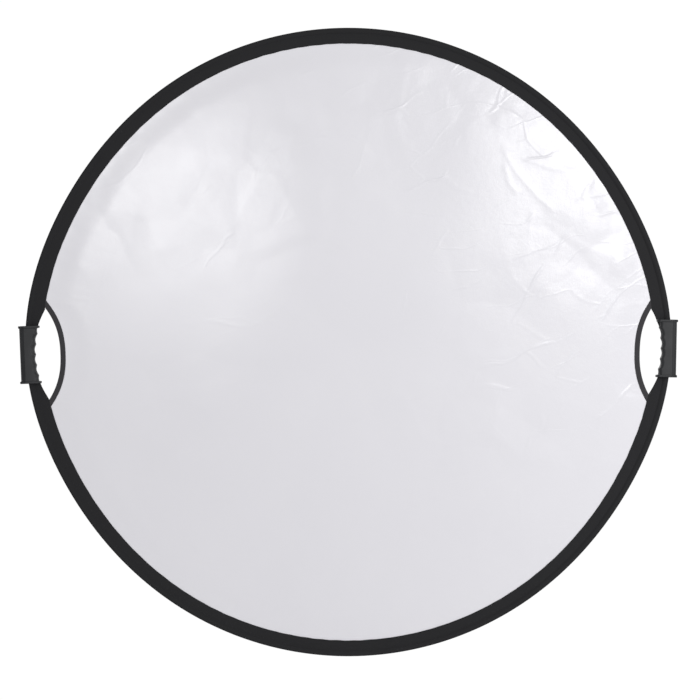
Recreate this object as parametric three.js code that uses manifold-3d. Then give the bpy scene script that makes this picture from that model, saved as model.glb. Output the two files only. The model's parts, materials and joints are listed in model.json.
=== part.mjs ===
// Collapsible reflector disc: two cloths stretched in a sprung hoop, with a hand grip at each side.
// Millimetres, +Z up. The disc stands in the XZ plane about the origin and its white side faces -Y.
// The disc is cut at six upright lines into seven strips, which is where it bends when it is curled up.

import * as THREE from 'three';
import { mergeVertices } from 'three/addons/utils/BufferGeometryUtils.js';
import Module from 'manifold-3d';

const wasm = await Module();
wasm.setup();

// ---- Driving dimensions ----

const DISC_RADIUS = 535;          // half of the nominal 107 cm across
const GRIP_BULGE = 15;            // the rim runs this much wide of the circle at the grips
const BULGE_POWER = 12;           // how quickly that bulge dies away round the rim
const RING_STEP = 3.75;           // degrees between the sections of the rim parts

const BAND_WIDTH = 26;            // the black sleeve, from its outer edge to its inner hem
const BAND_EXTRA = 2.4;           // how much wider the sleeve is beside the hand holes
const SLEEVE_WALL = 0.6;
const HEM_HALF = 1.45;            // half the thickness of the sleeve's stitched hem
const POCKET_HALF = 3.8;          // half the thickness of the tunnel that holds the hoop
const POCKET_DEPTH = 5.5;         // the tunnel's full-thickness part, from the outer edge
const POCKET_END = 9;             // where the tunnel has tapered to the hem

const CLOTH = 0.4;                // thickness of each cloth
const CLOTH_GAP = 0.3;            // between the two cloths
const CLOTH_INSET = 14;           // the cloths' cut edge, from the rim's outer edge

const HOOP = { inset: 2.6, thickness: 1, half: 2 };
const FERRULE = { outerInset: 1.8, outerThickness: 2.6, outerHalf: 2.85, clear: 0.3, halfLength: 20 };
const RIVET = { angle: 1.1, shank: 0.7, hole: 1, head: 1.3, headThickness: 0.5, headGap: 0.3 };
const HOOP_BUTT_GAP = 0.6;

const HINGE_X = [82.5, 242.5, 397.5];
const CLOTH_RELIEF = 0.5;         // cloth cut back on each side of a bending line
const RIM_RELIEF = 2.3;           // rim parts cut back on each side of a bending line
const SLEEVE_JOIN = { gap: 0.1, inset: 2 };  // between a tip's three lengths, inside the hole's ends

// The hand holes are lens shaped. Drops are degrees below the horizontal; half angles are seen
// from the centre.
const SIDES = [
  { name: 'left', sign: -1, holeDrop: 2.3, holeHalf: 8.7, panelDepth: 22.5, gripDrop: 2.3 },
  { name: 'right', sign: 1, holeDrop: 1.8, holeHalf: 8.15, panelDepth: 17.6, gripDrop: 1.15 },
];
const STRAND_WIDTH = 13;          // the rim where it passes through a grip
const PANEL_EDGE_POWER = 2.4;     // fullness of the hole's edge on the cloth side
const RIM_EDGE_POWER = 2;         // and on the rim side
const HOLE_STEPS = 20;
const BINDING = { width: 8.2, tipReach: 10.5, fold: 1, rimGap: 0.4 };

const GRIP = {
  length: 98.5, inner: 532.7, plateau: 551, shoulder: 556, outer: 559.2, depth: 12,
  concave: 0.003, groovePitch: 17.6, grooveDepth: 2.4, bead: 1.8, beadHeight: 4.6, parting: 0.15,
};
const GROOVE_STEPS = 5;           // sections from one finger crest to the next
const CHANNEL_CLEARANCE = 0.6;    // round the strand inside a grip
const SCREW = {
  out: 554.6, spacing: 36, seat: 4.5, head: 2.4, headHeight: 1.8, shank: 1.25,
  tip: -8.2, clear: 0.3, recess: 15, joinOverlap: 0.01,
};

const degrees = THREE.MathUtils.degToRad;

// ---- Materials ----

function finish(color, roughness, metalness) {
  return new THREE.MeshStandardMaterial({ color, roughness, metalness });
}

const MATERIALS = {
  whiteCloth: () => finish(0xe3e2e8, 0.55, 0),
  silverCloth: () => finish(0xb9bcc1, 0.35, 0.7),
  blackCloth: () => finish(0x28292b, 0.85, 0),
  bindingTape: () => finish(0x303033, 0.8, 0),
  gripPlastic: () => finish(0x3c3d40, 0.6, 0),
  springSteel: () => finish(0x8d9096, 0.35, 1),
  screwSteel: () => finish(0x55575b, 0.4, 1),
};

// ---- Solids ----

function toSolid(geometry) {
  const bare = geometry.clone();
  bare.deleteAttribute('normal');
  bare.deleteAttribute('uv');
  const merged = mergeVertices(bare);
  return new wasm.Manifold(new wasm.Mesh({
    numProp: 3,
    vertProperties: new Float32Array(merged.attributes.position.array),
    triVerts: new Uint32Array(merged.index.array),
  }));
}

function toGeometry(solid) {
  const mesh = solid.getMesh();
  const geometry = new THREE.BufferGeometry();
  geometry.setAttribute('position', new THREE.BufferAttribute(new Float32Array(mesh.vertProperties), 3));
  geometry.setIndex(new THREE.BufferAttribute(new Uint32Array(mesh.triVerts), 1));
  geometry.computeVertexNormals();
  return geometry;
}

function block(low, high) {
  const size = high.map((value, axis) => value - low[axis]);
  const geometry = new THREE.BoxGeometry(...size);
  geometry.translate(...low.map((value, axis) => value + size[axis] / 2));
  return toSolid(geometry);
}

// A flat plate parallel to the disc, from points [x, z], between two depths along Y.
function plate(outline, yLow, yHigh) {
  const shape = new THREE.Shape(outline.map(([x, z]) => new THREE.Vector2(x, z)));
  const geometry = new THREE.ExtrudeGeometry(shape, { depth: yHigh - yLow, bevelEnabled: false });
  geometry.rotateX(Math.PI / 2);
  geometry.translate(0, yHigh, 0);
  return toSolid(geometry);
}

// A closed skin through matching sections: a ring, or capped at both ends where a cap's outline
// [a, b] is given.
function skin(sections, capOutline) {
  const count = sections[0].length;
  const spans = capOutline ? sections.length - 1 : sections.length;
  const indices = [];
  for (let row = 0; row < spans; row += 1) {
    const here = row * count;
    const next = ((row + 1) % sections.length) * count;
    for (let i = 0; i < count; i += 1) {
      const j = (i + 1) % count;
      indices.push(here + i, here + j, next + j, here + i, next + j, next + i);
    }
  }
  if (capOutline) {
    indices.push(...capFaces(capOutline, spans * count));
  }
  const geometry = new THREE.BufferGeometry().setFromPoints(sections.flat());
  geometry.setIndex(indices);
  return orientedSolid(geometry);
}

function capFaces(capOutline, last) {
  const outline = capOutline.map(([a, b]) => new THREE.Vector2(a, b));
  const isClockwise = THREE.ShapeUtils.isClockWise(outline);
  return THREE.ShapeUtils.triangulateShape(outline, []).flatMap(([a, b, c]) => {
    const [second, third] = isClockwise ? [c, b] : [b, c];
    return [a, third, second, last + a, last + second, last + third];
  });
}

// The same skin with its faces pointing out, whichever way round the sections ran.
function orientedSolid(geometry) {
  const position = geometry.attributes.position;
  const index = geometry.index.array;
  const corner = [new THREE.Vector3(), new THREE.Vector3(), new THREE.Vector3()];
  let volume = 0;
  for (let face = 0; face < index.length; face += 3) {
    corner.forEach((point, k) => point.fromBufferAttribute(position, index[face + k]));
    volume += corner[0].dot(corner[1].cross(corner[2]));
  }
  if (volume < 0) {
    geometry.setIndex(Array.from(index).reverse());
  }
  return toSolid(geometry);
}

// ---- The rim's outline ----

const bulgeShare = (angle) => Math.abs(Math.cos(angle)) ** BULGE_POWER;
const rimRadius = (angle) => DISC_RADIUS + GRIP_BULGE * bulgeShare(angle);
const bandWidth = (angle) => BAND_WIDTH + BAND_EXTRA * bulgeShare(angle);

function rimPoint(angle, inset) {
  const radius = rimRadius(angle) - inset;
  return [radius * Math.cos(angle), radius * Math.sin(angle)];
}

// Sweeps a section of points [inset from the outer edge, y] along the rim.
function rimSweep(sectionAt, angles, isRing) {
  const sections = angles.map((angle) => sectionAt(angle).map(([inset, y]) => {
    const [x, z] = rimPoint(angle, inset);
    return new THREE.Vector3(x, y, z);
  }));
  return skin(sections, isRing ? null : sectionAt(angles[0]));
}

const ringAngles = Array.from({ length: 360 / RING_STEP }, (_, i) => degrees(i * RING_STEP));

function insideRim(insetAt) {
  return ringAngles.map((angle) => rimPoint(angle, insetAt(angle)));
}

// ---- The rim's parts ----

function sleeveSection(angle) {
  const width = bandWidth(angle);
  const halfProfile = [
    [width, HEM_HALF], [POCKET_END, HEM_HALF], [POCKET_DEPTH, POCKET_HALF],
    [1.2, POCKET_HALF - 0.3], [0, 1.6],
  ];
  const innerProfile = halfProfile.map(([inset, y], i) => {
    const depth = [0, 0, -0.1, 0.3, SLEEVE_WALL][i];
    const wall = [SLEEVE_WALL, SLEEVE_WALL, SLEEVE_WALL, SLEEVE_WALL, 0.2][i];
    return [inset + depth, y - wall];
  });
  const outside = [...halfProfile, ...mirrored(halfProfile)];
  const inside = [...innerProfile, ...mirrored(innerProfile)];
  return [...outside, ...inside.reverse()];
}

function mirrored(points) {
  return points.map(([inset, y]) => [inset, -y]).reverse();
}

function bandSection(inset, thickness, half) {
  return () => [[inset, half], [inset, -half], [inset + thickness, -half], [inset + thickness, half]];
}

function rivetTool(angle, radius, insetLow, insetHigh) {
  const geometry = new THREE.CylinderGeometry(radius, radius, insetHigh - insetLow, 12);
  geometry.rotateZ(Math.PI / 2);
  geometry.translate(rimRadius(angle) - (insetLow + insetHigh) / 2, 0, 0);
  geometry.rotateY(-angle);
  return toSolid(geometry);
}

const buttAngle = -Math.PI / 2;
const rivetAngles = [buttAngle - degrees(RIVET.angle), buttAngle + degrees(RIVET.angle)];
const ferruleBack = FERRULE.outerInset + FERRULE.outerThickness;

function hoopRing() {
  let ring = rimSweep(bandSection(HOOP.inset, HOOP.thickness, HOOP.half), ringAngles, true);
  for (const angle of rivetAngles) {
    ring = ring.subtract(rivetTool(angle, RIVET.hole, FERRULE.outerInset, ferruleBack));
  }
  const [x, z] = rimPoint(buttAngle, HOOP.inset);
  return ring.subtract(block([x - HOOP_BUTT_GAP / 2, -5, z - 5], [x + HOOP_BUTT_GAP / 2, 5, z + 5]));
}

function ferrule() {
  const angles = [-2, -1, 0, 1, 2].map((i) => buttAngle + degrees(i * RING_STEP));
  const outer = bandSection(FERRULE.outerInset, FERRULE.outerThickness, FERRULE.outerHalf);
  const bore = bandSection(
    HOOP.inset - FERRULE.clear, HOOP.thickness + 2 * FERRULE.clear, HOOP.half + FERRULE.clear,
  );
  const length = block([-FERRULE.halfLength, -10, -1000], [FERRULE.halfLength, 10, 0]);
  let tube = rimSweep(outer, angles, false).intersect(length).subtract(rimSweep(bore, angles, false));
  for (const angle of rivetAngles) {
    tube = tube.subtract(rivetTool(angle, RIVET.hole, 0, POCKET_END));
  }
  return tube;
}

function rivet(angle) {
  const front = FERRULE.outerInset - RIVET.headGap;
  const back = ferruleBack + RIVET.headGap;
  return rivetTool(angle, RIVET.shank, front - RIVET.headThickness, back + RIVET.headThickness)
    .add(rivetTool(angle, RIVET.head, front - RIVET.headThickness, front))
    .add(rivetTool(angle, RIVET.head, back, back + RIVET.headThickness));
}

// ---- The hand holes ----

// A point given outwards and upwards on one side of the disc, turned down round the centre by the drop.
function atSide(side, drop, out, up) {
  const turn = degrees(drop);
  return [
    side.sign * (out * Math.cos(turn) + up * Math.sin(turn)),
    -out * Math.sin(turn) + up * Math.cos(turn),
  ];
}

function holeFrame(side) {
  const tipAngle = degrees(side.holeDrop + side.holeHalf);
  const tipRadius = rimRadius(tipAngle) - bandWidth(tipAngle);
  const chord = tipRadius * Math.cos(degrees(side.holeHalf));
  return { chord, half: tipRadius * Math.sin(degrees(side.holeHalf)) };
}

// One edge of a lens: its bow is depth outwards (or inwards, if negative) from the chord.
function lensEdge(side, depth, power, reach) {
  const { chord, half } = holeFrame(side);
  return Array.from({ length: HOLE_STEPS + 1 }, (_, i) => {
    const share = (2 * i) / HOLE_STEPS - 1;
    const out = chord + depth * (1 - Math.abs(share) ** power);
    return atSide(side, side.holeDrop, out, share * (half + reach));
  });
}

function panelEdge(side, offset, reach) {
  return lensEdge(side, -side.panelDepth - offset, PANEL_EDGE_POWER, reach);
}

function rimEdge(side) {
  const depth = rimRadius(0) - STRAND_WIDTH - holeFrame(side).chord;
  return lensEdge(side, depth, RIM_EDGE_POWER, 0);
}

function lensOutline(side, offset, reach) {
  return [...panelEdge(side, offset, reach), ...rimEdge(side).slice(1, -1).reverse()];
}

function handHole(side) {
  return plate(lensOutline(side, 0, 0), -20, 20);
}

// Where the cloths stop short of a hand hole and of the narrow strand beside it.
function clothCut(side) {
  const { chord, half } = holeFrame(side);
  const beyond = [[chord - 1, -1], [chord - 1, 1], [rimRadius(0), 1], [rimRadius(0), -1]];
  const strand = beyond.map(([out, end]) => atSide(side, side.holeDrop, out, end * (half + 2)));
  return plate(lensOutline(side, BINDING.fold + 0.3, 2), -5, 5).add(plate(strand, -5, 5));
}

function handholdBinding(side) {
  const toRim = plate(insideRim((angle) => bandWidth(angle) + BINDING.rimGap), -HEM_HALF, HEM_HALF);
  const lip = HEM_HALF - SLEEVE_WALL;
  const strip = plate(lensOutline(side, BINDING.width, BINDING.tipReach), -HEM_HALF, HEM_HALF);
  const folded = plate(lensOutline(side, BINDING.fold, 0), -5, 5);
  const mouth = plate(lensOutline(side, BINDING.width + 5, BINDING.tipReach + 5), -lip, lip);
  return strip.subtract(handHole(side)).intersect(toRim).subtract(mouth.subtract(folded));
}

// ---- The grips ----

// The grip's finger edge bows away from the hand hole between the beads, and is grooved for the fingers.
function fingerEdge(up, isGrooved) {
  const reach = Math.min(Math.abs(up), GRIP.length / 2 - GRIP.beadHeight);
  const bowed = GRIP.inner - GRIP.concave * reach * reach;
  return isGrooved
    ? bowed + Math.abs(Math.sin((Math.PI * up) / GRIP.groovePitch)) * GRIP.grooveDepth
    : bowed;
}

function gripProfile(up, proud) {
  const inner = fingerEdge(up, proud === 0) - proud;
  const face = GRIP.depth + proud * 0.6;
  return [
    [inner, GRIP.parting], [inner, face * 0.5], [inner + 1.6, face * 0.84], [inner + 5.5, face],
    [GRIP.plateau, face], [GRIP.plateau + 1, face - 1], [GRIP.shoulder + proud * 0.5, face * 0.72],
    [GRIP.outer + proud, face * 0.36], [GRIP.outer + proud, GRIP.parting],
  ];
}

function gripSection(side, up, proud, facing) {
  return gripProfile(up, proud).map(([out, depth]) => {
    const [x, z] = atSide(side, side.gripDrop, out, up);
    return new THREE.Vector3(x, facing * depth, z);
  });
}

function gripStations() {
  const end = GRIP.length / 2;
  const step = GRIP.groovePitch / GROOVE_STEPS;
  const bead = [[end, 0.5], [end - 0.8, 1], [end - GRIP.beadHeight + 1, 1], [end - GRIP.beadHeight, 0]];
  const stations = bead.map(([up, share]) => ({ up: -up, proud: GRIP.bead * share }));
  const last = Math.floor((end - GRIP.beadHeight - 1) / step);
  for (let i = -last; i <= last; i += 1) {
    stations.push({ up: i * step, proud: 0 });
  }
  return [...stations, ...bead.reverse().map(([up, share]) => ({ up, proud: GRIP.bead * share }))];
}

// The space in a grip for the strand of rim that passes through it.
function strandChannel(side) {
  const middle = side.sign > 0 ? 0 : Math.PI;
  const reach = side.holeHalf + side.holeDrop + 2;
  const outer = Array.from({ length: 13 }, (_, i) => {
    const angle = middle + degrees(reach * (i / 6 - 1)) * side.sign;
    return rimPoint(angle, -CHANNEL_CLEARANCE);
  });
  const depth = rimRadius(0) - STRAND_WIDTH - CHANNEL_CLEARANCE - holeFrame(side).chord;
  const inner = lensEdge(side, depth, RIM_EDGE_POWER, 0).reverse();
  const half = POCKET_HALF + CHANNEL_CLEARANCE;
  return plate([...outer, ...inner], -half, half);
}

const screwHeights = [-SCREW.spacing, 0, SCREW.spacing];

// A round tool along Y at one screw's place on a grip.
function screwTool(side, up, radius, yLow, yHigh) {
  const [x, z] = atSide(side, side.gripDrop, SCREW.out, up);
  const geometry = new THREE.CylinderGeometry(radius, radius, yHigh - yLow, 16);
  geometry.translate(x, (yLow + yHigh) / 2, z);
  return toSolid(geometry);
}

function gripShell(side, facing) {
  const sections = gripStations().map(({ up, proud }) => gripSection(side, up, proud, facing));
  let shell = skin(sections, gripProfile(0, 0)).subtract(strandChannel(side));
  for (const up of screwHeights) {
    const hole = screwTool(side, up, SCREW.shank + SCREW.clear, SCREW.tip - SCREW.clear, SCREW.recess);
    const recess = screwTool(side, up, SCREW.head + SCREW.clear, SCREW.seat - SCREW.clear, SCREW.recess);
    shell = shell.subtract(hole).subtract(recess);
  }
  return shell;
}

function gripScrew(side, up) {
  const shank = screwTool(side, up, SCREW.shank, SCREW.tip, SCREW.seat + SCREW.joinOverlap);
  return shank.add(screwTool(side, up, SCREW.head, SCREW.seat, SCREW.seat + SCREW.headHeight));
}

// ---- Assembly ----

const reflector = new THREE.Group();

function addPart(name, solid, material) {
  const mesh = new THREE.Mesh(toGeometry(solid), material());
  mesh.name = name;
  reflector.add(mesh);
}

const edges = [-DISC_RADIUS - 100, ...HINGE_X.map((x) => -x).reverse(), ...HINGE_X, DISC_RADIUS + 100];
const STRIPS = ['left_tip', 'left_2', 'left_1', 'centre', 'right_1', 'right_2', 'right_tip']
  .map((name, i) => ({ name, low: edges[i], high: edges[i + 1] }));

function strip(solid, { low, high }, relief, zLow = -1000, zHigh = 1000) {
  return solid.intersect(block([low + relief, -50, zLow], [high - relief, 50, zHigh]));
}

function addCloths() {
  const front = -CLOTH_GAP / 2 - CLOTH;
  const cuts = SIDES.map(clothCut);
  const cloths = [
    ['face_white', front, MATERIALS.whiteCloth],
    ['face_silver', CLOTH_GAP / 2, MATERIALS.silverCloth],
  ];
  for (const [name, y, material] of cloths) {
    const whole = plate(insideRim(() => CLOTH_INSET), y, y + CLOTH);
    const cloth = cuts.reduce((solid, cut) => solid.subtract(cut), whole);
    for (const part of STRIPS) {
      addPart(`${name}_${part.name}`, strip(cloth, part, CLOTH_RELIEF), material);
    }
  }
}

// The hoop's tip strips are one piece round the side; every other strip has a top and a bottom piece.
function addRimParts(name, ring, material) {
  for (const part of STRIPS) {
    if (part.name.endsWith('tip')) {
      addTipPart(name, ring, part, material);
    } else {
      addPart(`${name}_top_${part.name}`, strip(ring, part, RIM_RELIEF, 0), material);
      addBottomPart(name, ring, part, material);
    }
  }
}

// A tip's sleeve is three lengths, joined just inside the two ends of its hand hole.
function addTipPart(name, ring, part, material) {
  if (name === 'hoop') {
    addPart(`${name}_${part.name}`, strip(ring, part, RIM_RELIEF), material);
    return;
  }
  const side = SIDES.find((one) => part.name.startsWith(one.name));
  const { chord, half } = holeFrame(side);
  const reach = half - SLEEVE_JOIN.inset;
  const [bottom, top] = [-reach, reach].map((up) => atSide(side, side.holeDrop, chord, up)[1]);
  const gap = SLEEVE_JOIN.gap / 2;
  for (const [place, low, high] of [
    ['upper', top + gap, 1000], ['strand', bottom + gap, top - gap], ['lower', -1000, bottom - gap],
  ]) {
    addPart(`${name}_${part.name}_${place}`, strip(ring, part, RIM_RELIEF, low, high), material);
  }
}

// The hoop's ends meet at the bottom, so its bottom centre piece is two.
function addBottomPart(name, ring, part, material) {
  const bottom = strip(ring, part, RIM_RELIEF, -1000, 0);
  const pieces = bottom.decompose();
  if (pieces.length === 1) {
    addPart(`${name}_bottom_${part.name}`, bottom, material);
    return;
  }
  pieces.sort((a, b) => a.boundingBox().min[0] - b.boundingBox().min[0]);
  addPart(`${name}_bottom_${part.name}_left_end`, pieces[0], material);
  addPart(`${name}_bottom_${part.name}_right_end`, pieces[1], material);
}

function addRim() {
  const wholeSleeve = rimSweep(sleeveSection, ringAngles, true);
  const sleeve = SIDES.reduce((solid, side) => solid.subtract(handHole(side)), wholeSleeve);
  addRimParts('rim_sleeve', sleeve, MATERIALS.blackCloth);
  addRimParts('hoop', hoopRing(), MATERIALS.springSteel);
  addPart('hoop_ferrule', ferrule(), MATERIALS.springSteel);
  addPart('hoop_rivet_left', rivet(rivetAngles[0]), MATERIALS.screwSteel);
  addPart('hoop_rivet_right', rivet(rivetAngles[1]), MATERIALS.screwSteel);
}

function addHandholds() {
  for (const side of SIDES) {
    addPart(`handhold_binding_${side.name}`, handholdBinding(side), MATERIALS.bindingTape);
    addPart(`grip_${side.name}_front`, gripShell(side, -1), MATERIALS.gripPlastic);
    addPart(`grip_${side.name}_back`, gripShell(side, 1), MATERIALS.gripPlastic);
    screwHeights.forEach((up, i) => {
      addPart(`grip_screw_${side.name}_${i + 1}`, gripScrew(side, up), MATERIALS.screwSteel);
    });
  }
}

addCloths();
addRim();
addHandholds();

export default reflector;
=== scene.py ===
"""Collapsible reflector disc: two cloths in a sprung hoop, a black sleeve, bound hand holes and grips.

Lengths are in millimetres up to add_mesh(), which writes metres. The disc stands in the XZ plane and
its white side faces -Y. It bends at six upright lines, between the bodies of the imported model.
"""

import json
import math

import bmesh
import bpy
import numpy as np
from mathutils import Matrix, Vector
from mathutils.geometry import delaunay_2d_cdt

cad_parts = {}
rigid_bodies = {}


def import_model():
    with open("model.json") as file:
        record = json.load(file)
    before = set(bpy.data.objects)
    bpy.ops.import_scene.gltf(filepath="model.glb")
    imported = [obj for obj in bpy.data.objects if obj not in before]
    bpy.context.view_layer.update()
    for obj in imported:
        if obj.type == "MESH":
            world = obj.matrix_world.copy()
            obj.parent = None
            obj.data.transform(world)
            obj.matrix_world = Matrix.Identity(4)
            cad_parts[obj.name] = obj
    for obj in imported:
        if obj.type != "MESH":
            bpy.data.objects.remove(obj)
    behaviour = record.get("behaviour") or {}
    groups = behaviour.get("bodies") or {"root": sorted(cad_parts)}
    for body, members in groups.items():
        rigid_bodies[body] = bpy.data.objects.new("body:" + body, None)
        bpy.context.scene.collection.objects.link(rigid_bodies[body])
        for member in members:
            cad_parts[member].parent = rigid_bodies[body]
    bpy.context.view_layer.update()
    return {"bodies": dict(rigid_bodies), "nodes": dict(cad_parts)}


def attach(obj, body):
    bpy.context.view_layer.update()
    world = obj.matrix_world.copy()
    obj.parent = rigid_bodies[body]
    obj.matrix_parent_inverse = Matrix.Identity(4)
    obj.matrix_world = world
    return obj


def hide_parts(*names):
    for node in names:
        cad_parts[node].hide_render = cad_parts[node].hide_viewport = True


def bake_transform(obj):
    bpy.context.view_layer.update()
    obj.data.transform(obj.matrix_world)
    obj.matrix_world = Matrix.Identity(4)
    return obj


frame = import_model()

MM = 0.001

# ---- Driving dimensions, the same as in the CAD ----

DISC_RADIUS = 535.0
GRIP_BULGE = 15.0
BULGE_POWER = 12
BAND_WIDTH = 26.0
BAND_EXTRA = 2.4
CLOTH_INSET = 14.0
CLOTH_THICKNESS = 0.4
CLOTH_FRONT = -0.55       # the white cloth's front face
CLOTH_BACK = 0.55         # the silver cloth's back face
STRAND_WIDTH = 13.0
PANEL_EDGE_POWER = 2.4
BINDING_FOLD = 1.3        # from the hand hole's edge to the cloths' cut edge, inside the binding
SIDES = {
    "left": dict(sign=-1, hole_drop=2.3, hole_half=8.7, panel_depth=22.5, grip_drop=2.3),
    "right": dict(sign=1, hole_drop=1.8, hole_half=8.15, panel_depth=17.6, grip_drop=1.15),
}
HINGES = (82.5, 242.5, 397.5)
SEAMS = (0.0, 162.5, 320.0)   # where one bending piece ends and the next begins

# The spans between seams, from left to right, with the two bodies that each bends between.
SPANS = []
for side_name, sign in (("left", -1), ("right", 1)):
    chain = ["centre"] + [f"{side_name}_{end}" for end in ("1", "2", "tip")]
    for k, part in enumerate(("inner", "middle", "outer")):
        limits = (SEAMS[k], SEAMS[k + 1] if k < 2 else 700.0)
        SPANS.append(dict(
            name=f"{side_name}_{part}",
            low=min(sign * limits[0], sign * limits[1]),
            high=max(sign * limits[0], sign * limits[1]),
            bodies=(chain[k], chain[k + 1]),
            hinge=sign * HINGES[k],
            sign=sign,
        ))
SPANS.sort(key=lambda span: span["low"])


def rng(seed):
    return np.random.default_rng(seed)


# ---- The rim's outline ----

def bulge(angle):
    return np.abs(np.cos(angle)) ** BULGE_POWER


def rim_radius(angle):
    return DISC_RADIUS + GRIP_BULGE * bulge(angle)


def band_width(angle):
    return BAND_WIDTH + BAND_EXTRA * bulge(angle)


def at_side(side, drop, out, up):
    """A point outwards and upwards on one side of the disc, turned down round the centre."""
    turn = math.radians(drop)
    return (
        side["sign"] * (out * math.cos(turn) + up * math.sin(turn)),
        -out * math.sin(turn) + up * math.cos(turn),
    )


def in_side(side, drop, x, z):
    """The other way round: how far outwards and upwards a point lies."""
    turn = math.radians(drop)
    x = x * side["sign"]
    return x * math.cos(turn) - z * math.sin(turn), x * math.sin(turn) + z * math.cos(turn)


def hole_frame(side):
    """The hand hole's chord, from the centre, and half its height."""
    tip = math.radians(side["hole_drop"] + side["hole_half"])
    radius = rim_radius(tip) - band_width(tip)
    half_angle = math.radians(side["hole_half"])
    return radius * math.cos(half_angle), radius * math.sin(half_angle)


def panel_edge(side, share):
    """How far out the hand hole's cloth side is, at a share of its half height."""
    chord, _ = hole_frame(side)
    return chord - side["panel_depth"] * (1 - np.abs(share) ** PANEL_EDGE_POWER)


def sleeve_width(angle):
    """The sleeve's width at an angle round the disc: it narrows beside each hand hole."""
    width = band_width(angle)
    for side in SIDES.values():
        chord, half = hole_frame(side)
        depth = rim_radius(0.0) - STRAND_WIDTH - chord
        middle = 0.0 if side["sign"] > 0 else math.pi
        off = (angle - middle + math.pi) % (2 * math.pi) - math.pi
        off = side["sign"] * off + math.radians(side["hole_drop"])
        within = np.abs(off) < math.radians(side["hole_half"])
        bow = depth * np.sin(off) ** 2 / half**2 + 1e-9
        radius = (-np.cos(off) + np.sqrt(np.cos(off) ** 2 + 4 * bow * (chord + depth))) / (2 * bow)
        width = np.where(within, rim_radius(angle) - radius, width)
    return width


# ---- Meshes ----

def unit(vectors):
    """Each row of vectors at a length of 1."""
    return vectors / np.maximum(np.linalg.norm(vectors, axis=1), 1e-12)[:, None]


def add_mesh(name, points, faces, material, uv=None):
    """A mesh object from points in millimetres. Its texture coordinates are in metres too."""
    mesh = bpy.data.meshes.new(name)
    mesh.from_pydata((np.asarray(points, float) * MM).tolist(), [], faces)
    if uv is not None:
        layer = mesh.uv_layers.new(name="lie")
        corner = np.zeros(len(mesh.loops), np.int32)
        mesh.loops.foreach_get("vertex_index", corner)
        layer.data.foreach_set("uv", (np.asarray(uv, float)[corner] * MM).astype(np.float32).ravel())
    mesh.materials.append(material)
    mesh.polygons.foreach_set("use_smooth", [True] * len(mesh.polygons))
    mesh.update()
    obj = bpy.data.objects.new(name, mesh)
    bpy.context.scene.collection.objects.link(obj)
    return obj


def vertex_normals(points, faces):
    """Unit normals of a net of triangles or quads."""
    corner = [points[faces[:, k]] for k in range(faces.shape[1])]
    if len(corner) == 4:
        across = np.cross(corner[2] - corner[0], corner[3] - corner[1])
    else:
        across = np.cross(corner[1] - corner[0], corner[2] - corner[0])
    normals = np.zeros_like(points)
    for k in range(faces.shape[1]):
        np.add.at(normals, faces[:, k], across)
    return unit(normals)


def add_shell(name, points, faces, normals, chosen, thickness, material, uv):
    """The chosen faces of a net as a closed sheet: its front is the net, its back a thickness behind.

    The normals are the whole net's, so that neighbouring pieces of one net meet without a visible seam.
    """
    used, local = np.unique(faces[chosen], return_inverse=True)
    local = local.reshape(-1, faces.shape[1])
    front, facing, count = points[used], normals[used], len(used)
    placed = np.concatenate([front, front - facing * thickness])
    starts, ends = local.reshape(-1), np.roll(local, -1, axis=1).reshape(-1)
    edge = ~np.isin(starts * count + ends, ends * count + starts)
    rim = np.stack([starts, starts + count, ends + count, ends], axis=1)[edge]
    both = local.tolist() + (local[:, ::-1] + count).tolist() + rim.tolist()
    obj = add_mesh(name, placed, both, material, uv=np.tile(uv[used], (2, 1)))
    smooth = np.ones(len(both), bool)
    smooth[2 * len(local):] = False
    obj.data.polygons.foreach_set("use_smooth", smooth)
    corner = np.zeros(len(obj.data.loops), np.int32)
    obj.data.loops.foreach_get("vertex_index", corner)
    wanted = np.concatenate([facing, -facing])[corner]
    first, second, third = (placed[rim[:, k]] for k in range(3))
    wanted[2 * local.size:] = np.repeat(unit(np.cross(second - first, third - first)), 4, axis=0)
    obj.data.normals_split_custom_set(wanted.tolist())
    return obj


# ---- Node trees ----

class Nodes:
    """A small helper round a node tree."""

    def __init__(self, tree):
        self.tree = tree

    def node(self, kind, links=(), **values):
        made = self.tree.nodes.new(kind)
        for key, value in values.items():
            setattr(made, key, value)
        for socket, source in dict(links).items():
            if hasattr(source, "node"):
                self.tree.links.new(source, made.inputs[socket])
            else:
                made.inputs[socket].default_value = source
        return made

    def math(self, operation, a, b=0.0):
        return self.node("ShaderNodeMath", {0: a, 1: b}, operation=operation).outputs[0]

    def spread(self, source, low, high, start=0.0, end=1.0, interpolation="LINEAR"):
        """source from start to end, taken to the range low to high."""
        return self.node("ShaderNodeMapRange", {
            "Value": source, "From Min": start, "From Max": end, "To Min": low, "To Max": high,
        }, interpolation_type=interpolation).outputs[0]


# ---- Bending ----

CAGE_STEP = 80.0
CAGE_COLUMNS = 18
CAGE_SIZE = (CAGE_STEP * (CAGE_COLUMNS - 1), 60.0, 1300.0)


def lie_flat_nodes():
    """A node group that puts every vertex back where it lies with the disc flat."""
    group = bpy.data.node_groups.new("lie_flat", "GeometryNodeTree")
    for way in ("INPUT", "OUTPUT"):
        group.interface.new_socket("Geometry", in_out=way, socket_type="NodeSocketGeometry")
    made = Nodes(group)
    flat = made.node("GeometryNodeInputNamedAttribute", {"Name": "flat"}, data_type="FLOAT_VECTOR")
    moved = made.node("GeometryNodeSetPosition", {
        "Geometry": made.node("NodeGroupInput").outputs[0], "Position": flat.outputs["Attribute"],
    })
    made.node("NodeGroupOutput", {0: moved.outputs["Geometry"]})
    return group


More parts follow.
